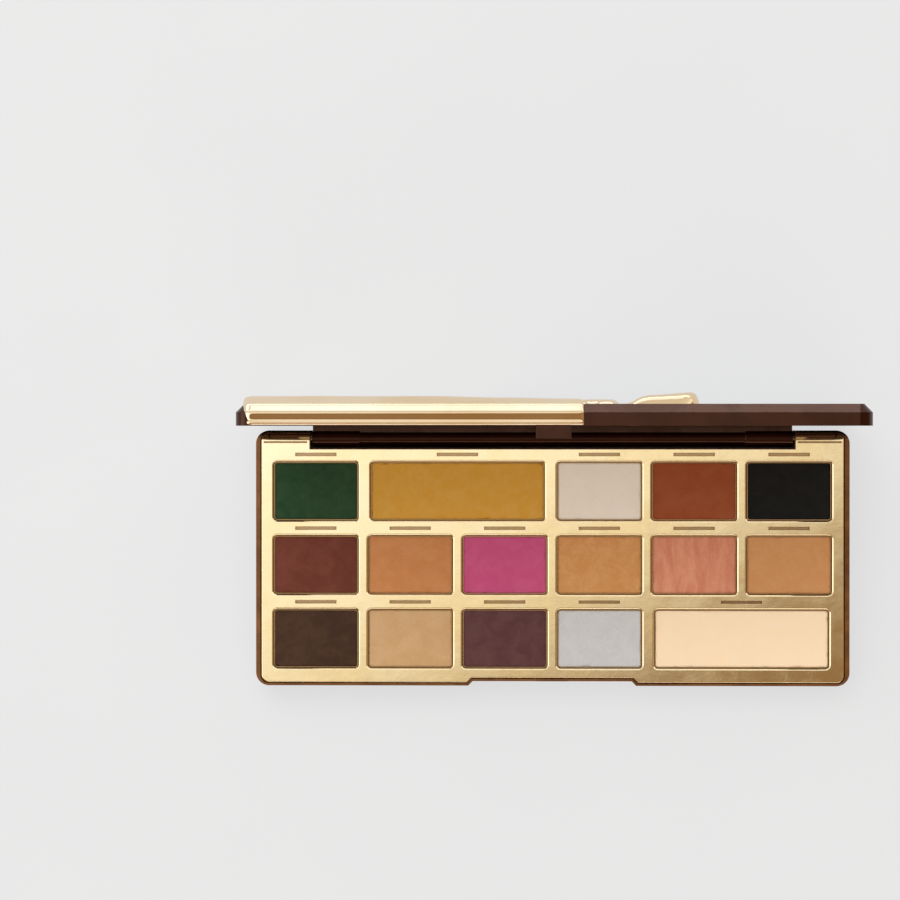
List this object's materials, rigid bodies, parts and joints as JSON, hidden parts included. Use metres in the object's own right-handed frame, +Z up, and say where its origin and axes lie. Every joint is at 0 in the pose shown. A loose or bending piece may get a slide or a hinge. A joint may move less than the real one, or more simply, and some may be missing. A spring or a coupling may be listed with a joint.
{
  "type": "eyeshadow palette",
  "caption": "Hinged makeup palette: chocolate-block lid with a raised gold melted cover and a mirror, gold tray with rectangular pans of pressed eyeshadow.",
  "frame": {"origin": "centre of the case's underside, on the surface it rests on", "axes": "+X along the palette's length to the right of the user, +Y towards the hinge, +Z up; the lid stands open at a right angle"},
  "size_m": [0.18, 0.0891, 0.0808],
  "materials": {
    "chocolate_plastic": "gloss dark chocolate brown moulding",
    "gold_insert_plastic": "satin metallised gold on plastic",
    "gold_cover_plastic": "satin metallised gold on plastic",
    "mirror_glass": "silvered glass",
    "foam_tape": "matte foam",
    "glue": "cured glue",
    "label_paper": "matte blank sticker",
    "pin_steel": "drawn steel",
    "pan_tinplate": "pressed sheet metal",
    "powder_forest_green": "satin pressed powder",
    "powder_ochre_gold": "shimmer pressed powder",
    "powder_ivory": "matte pressed powder",
    "powder_rust": "matte pressed powder",
    "powder_black": "matte pressed powder",
    "powder_maroon": "matte pressed powder",
    "powder_amber": "matte pressed powder",
    "powder_magenta": "matte pressed powder",
    "powder_tan": "satin pressed powder",
    "powder_rose": "shimmer pressed powder",
    "powder_caramel": "matte pressed powder",
    "powder_cocoa": "matte pressed powder",
    "powder_beige": "matte pressed powder",
    "powder_plum": "matte pressed powder",
    "powder_silver": "shimmer pressed powder",
    "powder_cream": "matte pressed powder"
  },
  "bodies": {
    "base": {"base_shell": "chocolate_plastic", "gold_insert": "gold_insert_plastic", "pan_glue_dots": "glue", "base_label": "label_paper", "hinge_pin_left": "pin_steel", "hinge_pin_right": "pin_steel", "pan_forest_green": "pan_tinplate", "pan_ochre_gold": "pan_tinplate", "pan_ivory": "pan_tinplate", "pan_rust": "pan_tinplate", "pan_black": "pan_tinplate", "pan_maroon": "pan_tinplate", "pan_amber": "pan_tinplate", "pan_magenta": "pan_tinplate", "pan_tan": "pan_tinplate", "pan_rose": "pan_tinplate", "pan_caramel": "pan_tinplate", "pan_cocoa": "pan_tinplate", "pan_beige": "pan_tinplate", "pan_plum": "pan_tinplate", "pan_silver": "pan_tinplate", "pan_cream": "pan_tinplate", "powder_forest_green": "powder_forest_green", "powder_ochre_gold": "powder_ochre_gold", "powder_ivory": "powder_ivory", "powder_rust": "powder_rust", "powder_black": "powder_black", "powder_maroon": "powder_maroon", "powder_amber": "powder_amber", "powder_magenta": "powder_magenta", "powder_tan": "powder_tan", "powder_rose": "powder_rose", "powder_caramel": "powder_caramel", "powder_cocoa": "powder_cocoa", "powder_beige": "powder_beige", "powder_plum": "powder_plum", "powder_silver": "powder_silver", "powder_cream": "powder_cream"},
    "lid": {"lid_shell": "chocolate_plastic", "gold_drip_cover": "gold_cover_plastic", "mirror_frame": "chocolate_plastic", "mirror": "mirror_glass", "mirror_tape": "foam_tape"}
  },
  "joints": [
    {"name": "lid_hinge", "type": "hinge", "parent": "base", "child": "lid", "pos_m": [0, 0.03615, 0.00515], "axis": [-1, 0, 0], "range_deg": [-90, 10]}
  ]
}
